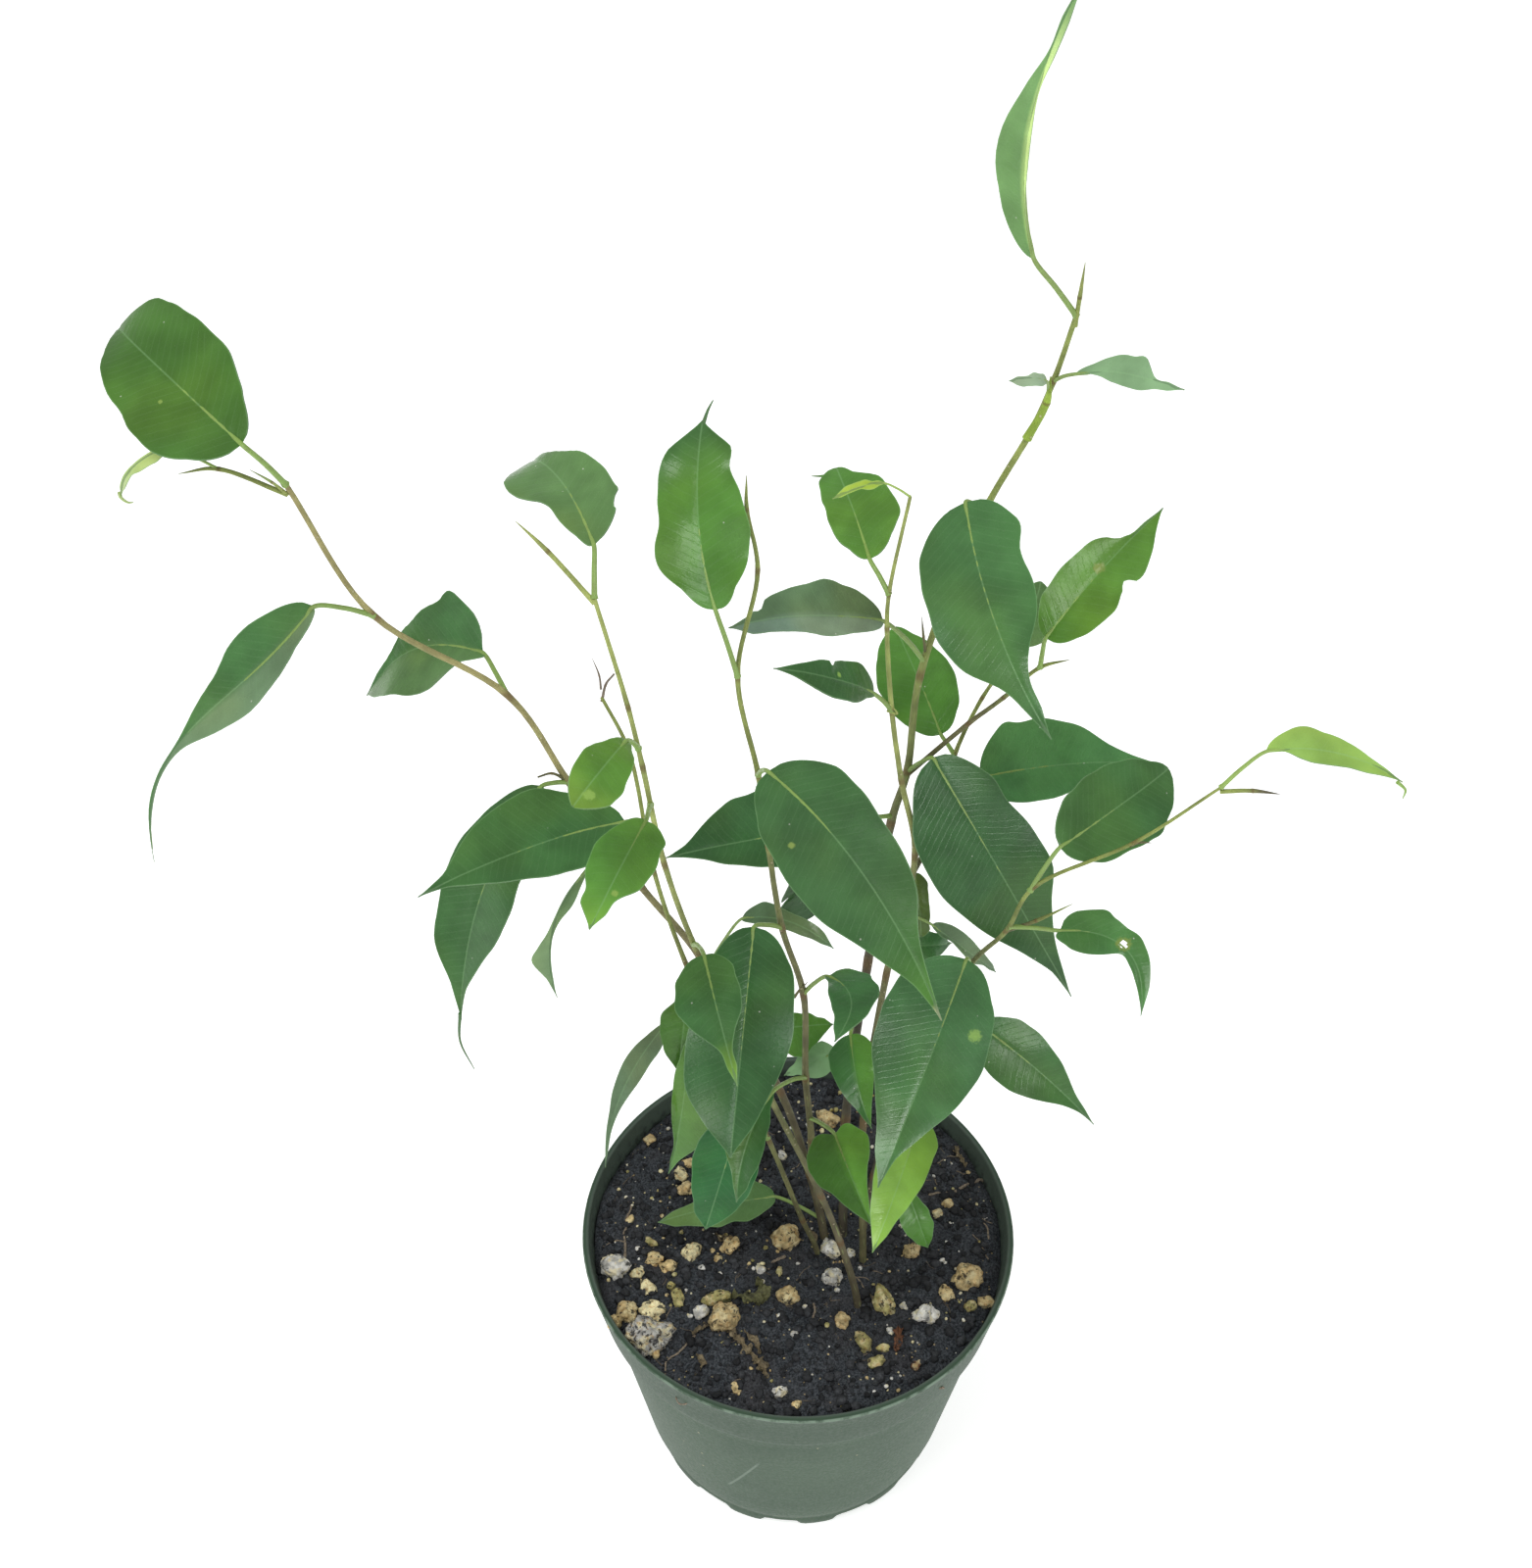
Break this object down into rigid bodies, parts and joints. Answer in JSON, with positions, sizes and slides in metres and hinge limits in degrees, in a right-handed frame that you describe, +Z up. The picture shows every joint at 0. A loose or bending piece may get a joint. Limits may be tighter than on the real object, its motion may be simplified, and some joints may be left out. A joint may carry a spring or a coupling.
{
  "type": "potted weeping fig",
  "caption": "Young weeping fig in a round tapered nursery pot: slender leafy stems rising from soil, glossy pointed leaves.",
  "frame": {"origin": "middle of the pot's flat underside, on the surface that the pot stands on", "axes": "+Z up along the pot's axis and the plant's height, the plant's longest extent; -Y towards the side the leaves face; +X to the right seen from there"},
  "size_m": [0.2361, 0.1226, 0.3851],
  "materials": {
    "pot_plastic": "satin dark green moulded plastic",
    "soil_mix": "moist peat with perlite",
    "leaf": "glossy green leaf"
  },
  "bodies": {
    "root": {"pot": "pot_plastic", "soil": "soil_mix", "shoot_left": "leaf", "shoot_front": "leaf", "shoot_thin": "leaf", "shoot_tall": "leaf", "shoot_right": "leaf"}
  },
  "joints": []
}
